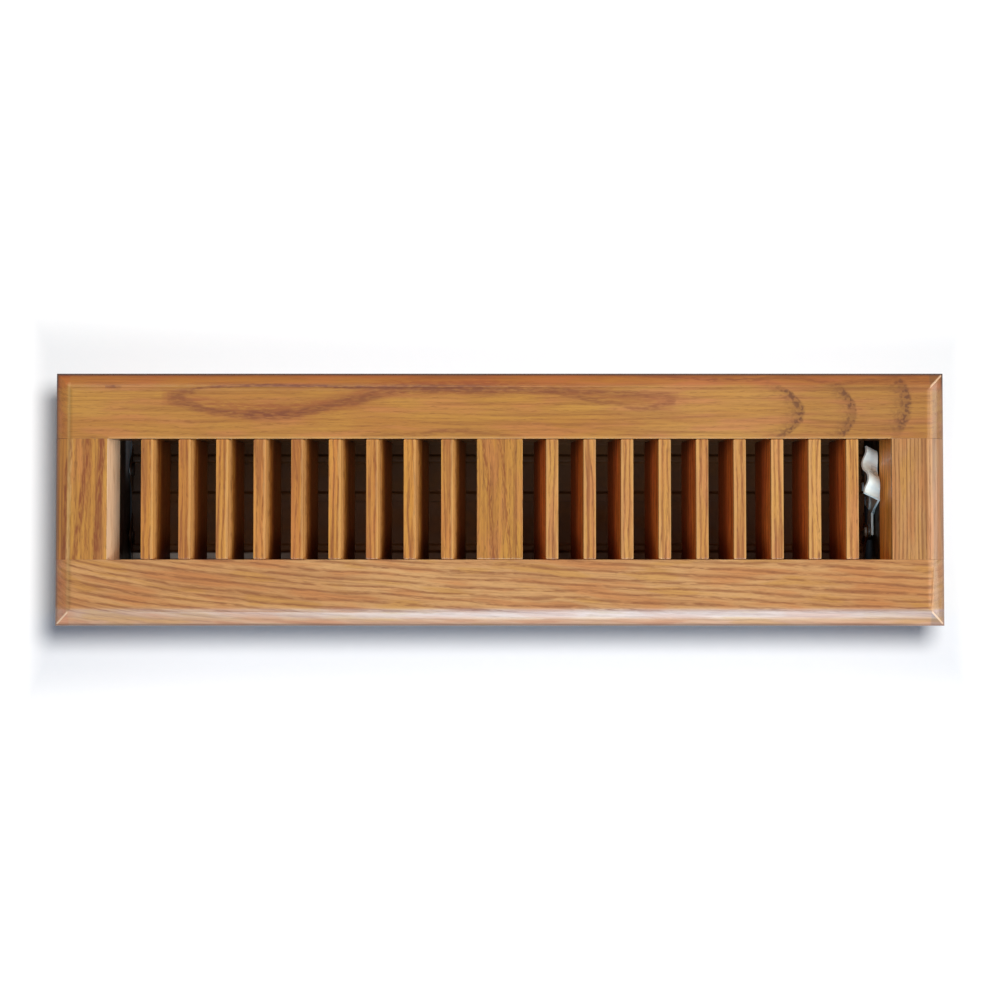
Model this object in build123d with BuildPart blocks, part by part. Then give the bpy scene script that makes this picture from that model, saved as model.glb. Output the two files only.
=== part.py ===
from build123d import *
import os
from math import atan2, ceil, cos, floor, hypot, pi, radians, sin, tan

os.makedirs("parts", exist_ok=True)

# A drop-in floor register: a bevelled oak face with two banks of tilted louvres, over a folded
# sheet-metal damper box whose two blades are worked by a thumb lever in the right-hand end gap.
# Millimetres. The origin is the middle of the opening at floor level, on the underside of the face.
# +X runs along the face, +Y to its rear edge and +Z up. The damper is modelled shut.

# Face frame
opening_length = 304.8
opening_width = 47.0
rail_width = 25.7
stile_width = 20.6
mullion_width = 17.8
frame_thickness = 12.7
bevel_width = 5.6
bevel_drop = 4.0
bevel_crown = 0.55

# Stub tenons of the stiles and the mullion
tenon_length = 5.0
tenon_thickness = 5.0
tenon_shoulder = 4.0
joint_clearance = 0.1

# Louvres, with thickness measured along the face
slat_thickness = 4.8
slat_pitch = 14.58
slat_depth = 17.0
slat_tilt = 15.0
slat_recess = 0.4
mullion_gap = 9.1
lever_gap = 12.5
tongue_length = 3.0
tongue_cover = 3.7
tongue_foot = 1.2

# Damper box
box_sheet = 0.7
box_depth = 45.0
box_side_setback = 3.1
box_end_setback = 0.3
flange_width = 8.0
flange_sink = 0.2
flange_clearance = 0.2
flange_notch = 2.0
bottom_lip = 4.0
corner_flap = 10.0
corner_flap_inset = 3.0

# Screws through the flange into the stiles
screw_spacing = 28.0
screw_edge = 4.2
screw_head_radius = 2.8
screw_head_height = 1.5
screw_radius = 1.3
screw_length = 8.5
screw_tip_length = 2.0
screw_clearance = 0.05

# Damper blades
blade_sheet = 0.6
blade_axis_depth = 26.0
blade_drop = 3.0
blade_edge_clearance = 0.9
blade_end_gap = 0.5
blade_turn = 79.5
blade_bend = 0.5
bead_inset = 3.0
bead_width = 3.5
bead_height = 0.9
hem_run = 1.6
hem_rise = 1.2
lap_line = 1.0
lap_overlap = 2.0
lap_rise = 1.0
lap_clearance = 0.8
ear_radius = 4.0
ear_reach = 9.5
crank_lug_radius = 2.8

# Pins and rivets
pivot_radius = 1.5
pivot_head_radius = 2.6
pivot_head_height = 0.7
crank_pin_radius = 1.2
crank_pin_overrun = 0.4
crank_head_radius = 2.0
lever_rivet_head_radius = 3.2
lever_rivet_head_height = 0.6
rivet_draft = 0.3
pin_fit = 0.02
running_fit = 0.05

# Thumb lever
lever_sheet = 0.8
lever_depth = 16.0
lever_swing = 53.0
lever_ear_gap = 0.4
hub_radius = 5.5
leg_root = 4.0
leg_tip = 7.4
leg_tip_clearance = 1.3
fork_clearance = 0.3
fold_radius = 21.5
grip_length = 20.0
grip_width = 7.4
grip_slope = 42.0
grip_wave = 1.3
grip_wavelength = 12.5
grip_crest = -3.7
washer_radius = 5.0
washer_thickness = 0.7

# Allowance by which a cut runs past the wood or sheet that it leaves
overcut = 1.0

# Alignment of a round solid that stands on its place
upright = (Align.CENTER, Align.CENTER, Align.MIN)

# Sizes that follow from those above
face_length = opening_length + 2 * stile_width
face_width = opening_width + 2 * rail_width
half_length = opening_length / 2
half_width = opening_width / 2
slat_lean = tan(radians(slat_tilt))
slat_top = frame_thickness - slat_recess
tongue_top = frame_thickness - tongue_cover
first_slat = mullion_width / 2 + mullion_gap + slat_thickness / 2
slat_room = half_length - lever_gap - slat_thickness / 2 - first_slat
slats_per_bank = floor(slat_room / slat_pitch) + 1
stile_foot = half_length - frame_thickness * slat_lean
rebate_depth = box_sheet + flange_sink
box_half_length = stile_foot + box_end_setback
box_half_width = half_width + box_side_setback
wall_outer_x = box_half_length + box_sheet
wall_outer_y = box_half_width + box_sheet
flange_half_length = wall_outer_x + flange_width
flange_half_width = wall_outer_y + flange_width
rebate_half_length = flange_half_length + flange_clearance
rebate_half_width = flange_half_width + flange_clearance
screw_x = wall_outer_x + screw_edge
screw_points = [(x, y) for x in (-screw_x, screw_x) for y in (-screw_spacing / 2, screw_spacing / 2)]

# The blades turn about the quarter lines of the box, and the lever about its centre line
blade_axis_y = box_half_width / 2
lever_outer_x = box_half_length - washer_thickness - running_fit
lever_inner_x = lever_outer_x - lever_sheet
blade_right_x = lever_inner_x - lever_ear_gap
blade_left_x = blade_end_gap - box_half_length
blade_reach = box_half_width - blade_axis_y - blade_edge_clearance

# The lever's forks and the crank pins mesh like two gears at the ratio of their turns
mesh_ratio = blade_turn / lever_swing
axis_fall = blade_axis_depth - lever_depth
axis_distance = hypot(blade_axis_y, axis_fall)
axis_angle = atan2(axis_fall, blade_axis_y)
mesh_radius = axis_distance * mesh_ratio / (1 + mesh_ratio)
crank_radius = axis_distance - mesh_radius
half_swing = radians(lever_swing / 2)
half_turn = radians(blade_turn / 2)
leg_reach = axis_distance - pivot_radius - leg_tip_clearance


def save(piece, label):
    """Label a finished piece and write it as a file of that name."""
    piece.part.label = label
    export_step(piece.part, f"parts/{label}.step")


def bevel_waste(plane, edge, outward):
    """Wood taken off a top edge that lies at edge along the plane's x, above a shallow convex arc."""
    crest = (outward * (edge - bevel_width), frame_thickness)
    foot = (outward * edge, frame_thickness - bevel_drop)
    past = outward * (edge + overcut)
    above = frame_thickness + overcut
    with BuildSketch(plane) as waste:
        with BuildLine():
            SagittaArc(crest, foot, outward * bevel_crown)
            Polyline(foot, (past, foot[1]), (past, above), (crest[0], above), crest)
        make_face()
    return waste.sketch


def slat_section(top_centre, bank, low, high, clearance=0.0):
    """Leaning section of a louvre between two heights, with its lower edge towards the middle."""
    low_shift = bank * (low - slat_top) * slat_lean
    high_shift = bank * (high - slat_top) * slat_lean
    half = slat_thickness / 2 + clearance
    with BuildSketch(Plane.XZ) as section:
        Polygon(
            (top_centre + low_shift - half, low),
            (top_centre + low_shift + half, low),
            (top_centre + high_shift + half, high),
            (top_centre + high_shift - half, high),
            align=None,
        )
    return section.sketch


def screw_row(clearance, length):
    """The four screws' outline, fatter all round by a clearance, from the flange's underside up."""
    with BuildPart(Plane.XY.offset(flange_sink)) as row:
        with Locations(*screw_points):
            Cone(screw_head_radius + clearance, screw_radius + clearance, screw_head_height, align=upright)
            Cylinder(screw_radius + clearance, length, align=upright)
    return row.part


def rivet_section(axis_y, axis_z, seat, tail, shank, head, head_height, tail_head, tail_height):
    """Half section of a rivet that lies along X, with a tapered head on each end of its shank."""
    onward = 1 if tail > seat else -1
    head_face = seat - onward * head_height
    tail_face = tail + onward * tail_height
    outline = [
        (head_face, 0),
        (head_face, head - rivet_draft),
        (seat, head),
        (seat, shank),
        (tail, shank),
        (tail, tail_head),
        (tail_face, tail_head - rivet_draft),
        (tail_face, 0),
    ]
    if tail_head == shank:
        outline.remove((tail, shank))
    with BuildSketch(Plane((0, axis_y, axis_z), x_dir=(1, 0, 0), z_dir=(0, -1, 0))) as section:
        Polygon(*outline, align=None)
    return section.sketch


def on_leg(along, across, angle):
    """Point at a distance along and across a leg of the lever that points at an angle."""
    return (along * cos(angle) - across * sin(angle), along * sin(angle) + across * cos(angle))


def draw_ripple(base, height):
    """Draw the grip's corrugation as arcs that bulge up and down in turn from a base line."""
    half_wave = grip_wavelength / 2
    crest_start = grip_crest - half_wave / 2
    first = floor((-grip_length / 2 - crest_start) / half_wave)
    last = ceil((grip_length / 2 - crest_start) / half_wave)
    places = [(crest_start + half_wave * n, base) for n in range(first, last + 1)]
    for n in range(last - first):
        bulge = height if (first + n) % 2 == 0 else -height
        SagittaArc(places[n], places[n + 1], bulge)
    return places[0], places[-1]


bank_slats = [(bank, first_slat + slat_pitch * n) for bank in (-1, 1) for n in range(slats_per_bank)]
tenon_width = stile_width - 2 * tenon_shoulder
mullion_tenon_width = mullion_width - 2 * tenon_shoulder
stile_middle = half_length + stile_width / 2
tenons = [(-stile_middle, tenon_width), (0, mullion_tenon_width), (stile_middle, tenon_width)]
screw_shank_length = screw_length - screw_tip_length
screw_shanks = screw_row(0, screw_shank_length)
screw_holes = screw_row(screw_clearance, screw_length + screw_clearance)


# Rails, the two long sides of the face: grooved for the louvres, mortised for stiles and mullion
for side, name in ((1, "rear_rail"), (-1, "front_rail")):
    with BuildPart() as rail:
        with BuildSketch():
            with Locations((0, side * (half_width + rail_width / 2))):
                Rectangle(face_length, rail_width)
        extrude(amount=frame_thickness)
        long_waste = bevel_waste(Plane.YZ, face_width / 2, side)
        extrude(long_waste, amount=face_length, both=True, mode=Mode.SUBTRACT)
        for end in (-1, 1):
            end_waste = bevel_waste(Plane.XZ, face_length / 2, end)
            extrude(end_waste, amount=face_width, both=True, mode=Mode.SUBTRACT)
        groove_end = half_width + tongue_length
        for bank, place in bank_slats:
            groove_top = tongue_top + joint_clearance
            groove = slat_section(bank * place, bank, -overcut, groove_top, joint_clearance)
            extrude(groove, amount=groove_end, both=True, mode=Mode.SUBTRACT)
        with BuildSketch(Plane.XZ.offset(-side * half_width)):
            for place, width in tenons:
                with Locations((place, frame_thickness / 2)):
                    Rectangle(width + 2 * joint_clearance, tenon_thickness + 2 * joint_clearance)
        extrude(amount=-side * (tenon_length + joint_clearance), mode=Mode.SUBTRACT)
        with BuildSketch():
            Rectangle(2 * rebate_half_length, 2 * rebate_half_width)
        extrude(amount=rebate_depth, mode=Mode.SUBTRACT)
    save(rail, name)

# Stiles, the two short ends: inner faces sloped like the louvres, tenoned into the rails
for end, name in ((-1, "left_stile"), (1, "right_stile")):
    with BuildPart() as stile:
        with BuildSketch(Plane.XZ):
            Polygon(
                (end * half_length, frame_thickness),
                (end * stile_foot, 0),
                (end * face_length / 2, 0),
                (end * face_length / 2, frame_thickness),
                align=None,
            )
        extrude(amount=half_width, both=True)
        with BuildSketch(Plane.XZ):
            with Locations((end * stile_middle, frame_thickness / 2)):
                Rectangle(tenon_width, tenon_thickness)
        extrude(amount=half_width + tenon_length, both=True)
        stile_waste = bevel_waste(Plane.XZ, face_length / 2, end)
        extrude(stile_waste, amount=face_width, both=True, mode=Mode.SUBTRACT)
        with BuildSketch():
            Rectangle(2 * rebate_half_length, face_width)
        extrude(amount=rebate_depth, mode=Mode.SUBTRACT)
        add(screw_holes, mode=Mode.SUBTRACT)
    save(stile, name)

# Mullion across the middle of the opening
with BuildPart() as centre_mullion:
    with BuildSketch(Plane.XY):
        Rectangle(mullion_width, opening_width)
    extrude(amount=frame_thickness)
    with BuildSketch(Plane.XZ):
        with Locations((0, frame_thickness / 2)):
            Rectangle(mullion_tenon_width, tenon_thickness)
    extrude(amount=half_width + tenon_length, both=True)
save(centre_mullion, "centre_mullion")

# Louvres, numbered from the mullion outwards, with a stub tongue at each end
for bank, bank_name in ((-1, "left"), (1, "right")):
    for n in range(slats_per_bank):
        place = bank * (first_slat + slat_pitch * n)
        with BuildPart() as slat:
            blank = slat_section(place, bank, slat_top - slat_depth, slat_top)
            extrude(blank, amount=half_width - joint_clearance, both=True)
            tongue = slat_section(place, bank, tongue_foot, tongue_top)
            extrude(tongue, amount=half_width + tongue_length - joint_clearance, both=True)
        save(slat, f"slat_{bank_name}_{n + 1}")

# Damper box: four walls, a flange folded outwards under the face, a lip folded in at the bottom, and
# flaps of the end walls lapped round the corners
with BuildPart() as damper_box:
    with BuildSketch(Plane.XY.offset(-box_depth)):
        Rectangle(2 * wall_outer_x, 2 * wall_outer_y)
        Rectangle(2 * box_half_length, 2 * box_half_width, mode=Mode.SUBTRACT)
    extrude(amount=box_depth + rebate_depth)
    with BuildSketch(Plane.XY.offset(-box_depth)):
        Rectangle(2 * wall_outer_x, 2 * wall_outer_y)
        Rectangle(2 * (box_half_length - bottom_lip), 2 * (box_half_width - bottom_lip), mode=Mode.SUBTRACT)
    extrude(amount=box_sheet)
    with BuildSketch(Plane.XY.offset(flange_sink)):
        Rectangle(2 * flange_half_length, 2 * (wall_outer_y - flange_notch))
        Rectangle(2 * (wall_outer_x - flange_notch), 2 * flange_half_width)
        Rectangle(2 * box_half_length, 2 * box_half_width, mode=Mode.SUBTRACT)
    extrude(amount=box_sheet)
    with BuildSketch(Plane.XY.offset(corner_flap_inset - box_depth)):
        with GridLocations(2 * wall_outer_x - corner_flap, 2 * wall_outer_y + box_sheet, 2, 2):
            Rectangle(corner_flap, box_sheet)
    extrude(amount=box_depth - 2 * corner_flap_inset)
    add(screw_holes, mode=Mode.SUBTRACT)
    with BuildSketch(Plane.YZ):
        with Locations((-blade_axis_y, -blade_axis_depth), (blade_axis_y, -blade_axis_depth)):
            Circle(pivot_radius + running_fit)
    extrude(amount=face_length, both=True, mode=Mode.SUBTRACT)
    with BuildSketch(Plane.YZ):
        with Locations((0, -lever_depth)):
            Circle(pivot_radius + running_fit)
    extrude(amount=face_length, mode=Mode.SUBTRACT)
save(damper_box, "damper_box")

# Flat-headed screws that hold the flange to the stiles
with BuildPart() as box_screws:
    add(screw_shanks)
    with Locations(*[(x, y, flange_sink + screw_shank_length) for x, y in screw_points]):
        Cone(screw_radius, 0, screw_tip_length, align=upright)
save(box_screws, "box_screws")


def blade_section(side):
    """Centre line of a blade's sheet about its pivot, from its middle edge to its hemmed outer edge."""
    raised = bead_height - blade_drop
    bead = [
        (side * bead_inset, -blade_drop),
        (side * (bead_inset + bead_height), raised),
        (side * (bead_inset + bead_width - bead_height), raised),
        (side * (bead_inset + bead_width), -blade_drop),
    ]
    hem = [
        (side * (blade_reach - hem_run), -blade_drop),
        (side * blade_reach, hem_rise - blade_drop),
    ]
    if side > 0:
        joggle = lap_line + lap_overlap + lap_clearance - blade_axis_y
        middle = [
            (lap_line - blade_axis_y, lap_rise - blade_drop),
            (joggle, lap_rise - blade_drop),
            (joggle + lap_rise, -blade_drop),
        ]
    else:
        middle = [(lap_line + lap_overlap + blade_axis_y, -blade_drop)]
    return middle + bead + hem


# Blades: one bent sheet each, with ears turned up at both ends and a crank lug on the right ear
for side, name in ((1, "rear"), (-1, "front")):
    axis_y = side * blade_axis_y
    at_left = Plane((blade_left_x, axis_y, -blade_axis_depth), x_dir=(0, 1, 0), z_dir=(1, 0, 0))
    at_right = Plane((blade_right_x, axis_y, -blade_axis_depth), x_dir=(0, 1, 0), z_dir=(1, 0, 0))
    mesh_angle = pi - axis_angle if side > 0 else axis_angle
    crank_angle = mesh_angle + half_turn
    crank_point = (crank_radius * cos(crank_angle), crank_radius * sin(crank_angle))
    with BuildPart() as blade:
        with BuildSketch(at_left):
            with BuildLine():
                FilletPolyline(*blade_section(side), radius=blade_bend)
            trace(line_width=blade_sheet)
        extrude(amount=blade_right_x - blade_left_x)
        with BuildSketch(at_left):
            Circle(ear_radius)
            with Locations((0, -blade_drop)):
                Rectangle(2 * ear_reach, blade_sheet)
            make_hull()
        extrude(amount=blade_sheet)
        with BuildSketch(at_right):
            Circle(ear_radius)
            with Locations((0, -blade_drop)):
                Rectangle(2 * ear_reach, blade_sheet)
            make_hull()
        extrude(amount=-blade_sheet)
        with BuildSketch(at_right):
            Circle(ear_radius)
            with Locations(crank_point):
                Circle(crank_lug_radius)
            make_hull()
        extrude(amount=-blade_sheet)
        with BuildSketch(at_left):
            Circle(pivot_radius + pin_fit)
        extrude(amount=blade_right_x - blade_left_x, mode=Mode.SUBTRACT)
        with BuildSketch(at_right):
            with Locations(crank_point):
                Circle(crank_pin_radius + pin_fit)
        extrude(amount=-blade_sheet, mode=Mode.SUBTRACT)
    save(blade, f"{name}_blade")

    with BuildPart() as pivots:
        for inner, outer in (
            (blade_left_x + blade_sheet, -wall_outer_x - running_fit),
            (blade_right_x - blade_sheet, wall_outer_x + running_fit),
        ):
            half_pivot = rivet_section(
                axis_y, -blade_axis_depth, inner, outer, pivot_radius,
                pivot_head_radius, pivot_head_height, pivot_head_radius, pivot_head_height,
            )
            revolve(half_pivot, axis=Axis((0, axis_y, -blade_axis_depth), (1, 0, 0)))
    save(pivots, f"{name}_blade_pivots")

    with BuildPart() as crank_pin:
        crank_y = axis_y + crank_point[0]
        crank_z = crank_point[1] - blade_axis_depth
        half_pin = rivet_section(
            crank_y, crank_z, blade_right_x - blade_sheet, lever_outer_x, crank_pin_radius,
            crank_head_radius, pivot_head_height, crank_pin_radius, crank_pin_overrun,
        )
        revolve(half_pin, axis=Axis((0, crank_y, crank_z), (1, 0, 0)))
    save(crank_pin, f"{name}_crank_pin")

# Thumb lever: two forked legs, a hub, a fan-shaped plate and a corrugated grip bent inwards
lever_along = Vector(0, cos(half_swing), -sin(half_swing))
lever_up = Vector(0, sin(half_swing), cos(half_swing))
lever_plane = Plane((lever_inner_x, 0, -lever_depth), x_dir=lever_along, z_dir=(1, 0, 0))
grip_angle = radians(grip_slope)
grip_way = Vector(-cos(grip_angle), 0, 0) + lever_up * sin(grip_angle)
grip_root = Vector(lever_inner_x + lever_sheet / 2, 0, -lever_depth) + lever_up * fold_radius
grip_run_in = grip_wave * tan(grip_angle) + lever_sheet
grip_plane = Plane(grip_root - grip_way * grip_run_in, x_dir=lever_along, z_dir=grip_way)
grip_half = grip_length / 2

# The plate's crown carries the same ripple, drawn out by the slope of the grip
crown_wave = grip_wave / cos(grip_angle)
crown_low = fold_radius - crown_wave
crown_high = fold_radius + crown_wave

# Where a crank pin stands along and across its leg at either end of the swing
pin_lift = crank_radius * sin(half_turn)
pin_stand = axis_distance - crank_radius * cos(half_turn)
pin_along = pin_stand * cos(half_swing) + pin_lift * sin(half_swing)
pin_across = pin_stand * sin(half_swing) - pin_lift * cos(half_swing)
leg_angles = [-axis_angle, axis_angle - pi]
notch_reach = 2

with BuildPart() as thumb_lever:
    with BuildSketch(lever_plane):
        for angle in leg_angles:
            Polygon(
                on_leg(0, -leg_root, angle),
                on_leg(axis_distance, -leg_tip, angle),
                on_leg(axis_distance, leg_tip, angle),
                on_leg(0, leg_root, angle),
                align=None,
            )
        Circle(leg_reach, mode=Mode.INTERSECT)
        Circle(hub_radius)
    extrude(amount=lever_sheet)
    with BuildSketch(lever_plane):
        with BuildLine():
            crown_start, crown_end = draw_ripple(fold_radius, crown_wave)
            Polyline(crown_end, (crown_end[0], 0), (crown_start[0], 0), crown_start)
        make_face()
        Polygon(
            (-hub_radius, 0),
            (hub_radius, 0),
            (grip_half, crown_low),
            (grip_half, crown_high),
            (-grip_half, crown_high),
            (-grip_half, crown_low),
            align=None,
            mode=Mode.INTERSECT,
        )
    extrude(amount=lever_sheet)
    with BuildSketch(lever_plane):
        Circle(pivot_radius + running_fit)
    extrude(amount=lever_sheet, mode=Mode.SUBTRACT)
    for angle in leg_angles:
        fork_end = mesh_radius + notch_reach * (pin_along - mesh_radius)
        with BuildSketch(lever_plane):
            with Locations(
                on_leg(mesh_radius, 0, angle),
                on_leg(fork_end, notch_reach * pin_across, angle),
                on_leg(fork_end, -notch_reach * pin_across, angle),
            ):
                Circle(crank_pin_radius + fork_clearance)
            make_hull()
        extrude(amount=lever_sheet, mode=Mode.SUBTRACT)
    with BuildSketch(grip_plane):
        with BuildLine():
            draw_ripple(0, -grip_wave)
        trace(line_width=lever_sheet)
        Rectangle(grip_length, 2 * (grip_wave + lever_sheet), mode=Mode.INTERSECT)
    extrude(amount=grip_width + grip_run_in)
    split(bisect_by=Plane.YZ.offset(lever_outer_x), keep=Keep.BOTTOM)
save(thumb_lever, "thumb_lever")

# Rivet that the lever turns on, and the washer that rubs between lever and wall
with BuildPart() as lever_rivet:
    half_rivet = rivet_section(
        0, -lever_depth, lever_inner_x - running_fit, wall_outer_x, pivot_radius,
        lever_rivet_head_radius, lever_rivet_head_height, pivot_head_radius, pivot_head_height,
    )
    revolve(half_rivet, axis=Axis((0, 0, -lever_depth), (1, 0, 0)))
save(lever_rivet, "lever_rivet")

with BuildPart() as friction_washer:
    with BuildSketch(Plane.YZ.offset(box_half_length - washer_thickness)):
        with Locations((0, -lever_depth)):
            Circle(washer_radius)
            Circle(pivot_radius + running_fit, mode=Mode.SUBTRACT)
    extrude(amount=washer_thickness)
save(friction_washer, "friction_washer")
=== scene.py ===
"""Looks of a drop-in floor register: a varnished oak face over a galvanised damper box.

Everything is in metres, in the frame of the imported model. Grain patterns are worked out in
millimetres from the object coordinates of each piece.
"""

from collections import namedtuple
from math import radians, tan

import bpy
import numpy as np
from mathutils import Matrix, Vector


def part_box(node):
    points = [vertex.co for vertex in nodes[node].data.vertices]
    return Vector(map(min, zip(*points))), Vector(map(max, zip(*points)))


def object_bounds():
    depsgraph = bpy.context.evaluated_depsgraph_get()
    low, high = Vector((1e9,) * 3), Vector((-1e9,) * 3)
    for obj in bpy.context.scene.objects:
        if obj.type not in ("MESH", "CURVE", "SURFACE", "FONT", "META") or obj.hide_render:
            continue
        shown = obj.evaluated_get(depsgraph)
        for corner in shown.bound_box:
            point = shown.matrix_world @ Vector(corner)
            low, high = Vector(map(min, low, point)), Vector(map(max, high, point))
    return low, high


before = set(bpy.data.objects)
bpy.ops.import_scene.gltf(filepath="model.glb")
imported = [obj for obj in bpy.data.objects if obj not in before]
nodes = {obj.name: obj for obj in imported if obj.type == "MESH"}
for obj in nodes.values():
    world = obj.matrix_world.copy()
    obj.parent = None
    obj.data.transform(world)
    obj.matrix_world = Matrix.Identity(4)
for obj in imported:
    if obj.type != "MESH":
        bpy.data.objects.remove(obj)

cad_low, cad_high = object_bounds()
MM = 0.001

# The photograph's scale on the face, and the pixel where the middle of the face lies
MM_PER_PIXEL = 0.3883
MIDDLE_PIXEL = (499.75, 499.0)
IMAGE_PIXELS = 1000

# Camera: above the face, leaning a little towards the front edge
CAMERA_DISTANCE = 1.0
CAMERA_LEAN = radians(2.5)
SENSOR_WIDTH = 36.0

# Eased arrises of the wood
ARRIS_RADIUS = 0.45 * MM
ARRIS_ANGLE = radians(28)

# Sizes of the model that the materials follow, in millimetres
HALF_LENGTH = cad_high.x / MM
HALF_WIDTH = cad_high.y / MM
FACE_TOP = cad_high.z / MM
BEVEL_RUN = 5.6
BEVEL_DROP = 4.0
BEVEL_FOOT = FACE_TOP - BEVEL_DROP
STILE_SLOPE = 3.4
HALF_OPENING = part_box("right_stile")[0].x / MM + STILE_SLOPE
HALF_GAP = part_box("rear_rail")[0].y / MM
SLAT_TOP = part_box("slat_left_1")[1].z / MM
SLAT_LEAN = tan(radians(15))
SLAT_PITCH = 14.58
FIRST_SLAT = 20.4

# Damper box, to the middle of its sheet
BOX_SHEET = 0.7
BOX_HALF_LENGTH = 149.65
BOX_HALF_WIDTH = 26.95
BOX_BOTTOM = cad_low.z / MM + BOX_SHEET / 2

# The top of the frame falls away towards the crest of its bevels, over this run and to this slope
CREST_EASE = 1.7
CREST_SLOPE = 0.28

# Fall of the front rail's grain lines: steep by the left end, and gentle past this reach from it
STEEP_FALL = 0.2
STEEP_REACH = 58.0
GENTLE_FALL = 0.045

# Blotches of painted shade on the sides of the louvres: length, depth and share
SLAT_SHADE_BLOTCHES = ((30.0, 0.9, 0.4), (4.0, 2.0, 0.35))

# Depths between which the painted shade on those sides deepens, in the left bank and in the right one
DEEP_SHADE_FROM = (3.4, 5.4)
DEEP_SHADE_TO = (9.6, 12.1)

# Sheet metal: size of its spangle, a painted light patch on the left end wall, painted shade on the blades
# towards the left end, and a painted highlight on the front blade's bead, brightest towards the left
SPANGLE_SIZE = 6.0
LIT_PATCH_Y = (4.0, 20.0)
LIT_PATCH_Z = (-12.0, -18.0)
END_SHADE_X = (-138.0, -144.0)
BEAD_FRONT = -22.8
BEAD_REAR = -19.4
BEAD_FADE = 1.0
BEAD_HIGHLIGHT_X = (-60.0, -135.0)

# Place on a surface in millimetres, with the masks of the frame's edges where the piece has them
Place = namedtuple("Place", "x y z edges")


def photo_place(pixel_x, pixel_y):
    """Place on the face, in millimetres from its middle, that a pixel of the photograph shows."""
    return (
        (pixel_x - MIDDLE_PIXEL[0]) * MM_PER_PIXEL,
        (MIDDLE_PIXEL[1] - pixel_y) * MM_PER_PIXEL,
    )


def linear(red, green, blue):
    """Scene-linear colour of an sRGB colour given as 0 to 255."""
    shares = np.array([red, green, blue]) / 255
    curved = np.where(shares <= 0.04045, shares / 12.92, ((shares + 0.055) / 1.055) ** 2.4)
    return (*curved.tolist(), 1.0)


# Colours of the stained oak, and of the highlights, light and shade painted on it
OAK_GOLDEN = linear(206, 146, 58)
OAK_ROSY = linear(206, 130, 72)
OAK_PLUME = linear(130, 68, 34)
OAK_KNOT = linear(112, 64, 32)
OAK_RED = linear(156, 80, 40)
OAK_STREAK = linear(140, 70, 24)
# Painted shade along the foot of the bevels
OAK_FOOT_SHADE = linear(58, 32, 16)
# Painted highlight on crests and arrises, and near the top of louvre sides
OAK_HIGHLIGHT = linear(236, 180, 112)
# Painted light on the mitres and on the left stile's inner face
OAK_PAINTED_LIGHT = linear(255, 216, 178)
# Painted shade deep down the sides of the louvres
OAK_DEEP_SHADE = linear(114, 50, 19)
OAK_SHADE = linear(58, 24, 8)

# Oak of each piece: light, middle, line and pore
REAR_OAK = (linear(204, 145, 64), linear(190, 125, 52), linear(152, 92, 38), linear(130, 74, 30))
FRONT_OAK = (linear(224, 170, 112), linear(208, 150, 94), linear(148, 88, 46), linear(128, 72, 36))
STILE_OAK = (linear(212, 150, 64), linear(196, 130, 52), linear(142, 82, 34), linear(118, 64, 26))
RIGHT_OAK = (linear(210, 154, 96), linear(196, 136, 80), linear(134, 82, 40), linear(118, 70, 32))
SLAT_OAK = (linear(220, 158, 78), linear(204, 136, 58), linear(144, 82, 34), linear(116, 62, 26))

# Tints that the wood is multiplied by; many of them paint light or shade in
# Painted shade on the left and rear bevels, deeper towards their foot
BEVEL_SHADE_TINT = (1.02, 0.85, 0.85, 1)
FOOT_SHADE_TINT = (0.95, 0.7, 0.12, 1)
LEFT_FOOT_SHADE_TINT = (0.9, 0.78, 0.5, 1)
# Painted highlight on the front bevel, palest along its crest, and painted light low on it
FRONT_HIGHLIGHT_TINT = (1.03, 1.17, 1.7, 1)
FRONT_CREST_HIGHLIGHT_TINT = (0.9, 1.0, 1.4, 1)
FRONT_LOW_LIGHT_TINT = (1.08, 1.02, 1.14, 1)
# Painted sheen, bluer and duller, on the right bevel
RIGHT_SHEEN_TINT = (0.7, 0.78, 0.98, 1)
ROSY_TINT = (1.03, 1.07, 1.4, 1)
DULL_TINT = (0.84, 0.79, 0.72, 1)
END_TINT = (0.94, 0.88, 0.8, 1)
LEFT_SLAT_TINT = (1.09, 1.05, 0.92, 1)
RIGHT_SLAT_TINT = (1.12, 1.18, 1.5, 1)
# Painted bounce light on the right bank's louvre sides, brightest at the top; painted shade by the rails
SIDE_BOUNCE_TINT = (1.05, 0.58, 0.5, 1)
SIDE_TOP_BOUNCE_TINT = (1.22, 0.74, 0.52, 1)
SIDE_END_SHADE_TINT = (0.5, 0.42, 0.4, 1)
# Painted bounce light on the right stile's inner face
INNER_BOUNCE_TINT = (1.5, 1.25, 0.8, 1)

# Colours of the sheet metal, and of its dark enamel, which also stands in for the shade inside the box
GALVANISED_BRIGHT = (0.55, 0.56, 0.57, 1)
GALVANISED_DULL = (0.36, 0.37, 0.38, 1)
ZINC_BRIGHT = (0.86, 0.98, 1.0, 1)
ZINC_DULL = (0.74, 0.88, 0.95, 1)
# Bright zinc of the painted light patch on the end wall and of the painted highlight on the bead
GLINT_ZINC = (0.86, 0.88, 0.9, 1)
# Dark enamel inside the box and on the blades, standing in for the shade in there
BOX_SHADE_ENAMEL = linear(46, 34, 27)
DARK_ENAMEL_SHADE = linear(106, 64, 28)
DUST = linear(144, 92, 46)
# Painted shade on the blades towards the left end
END_SHADE_TINT = (0.4, 0.4, 0.45, 1)


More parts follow.
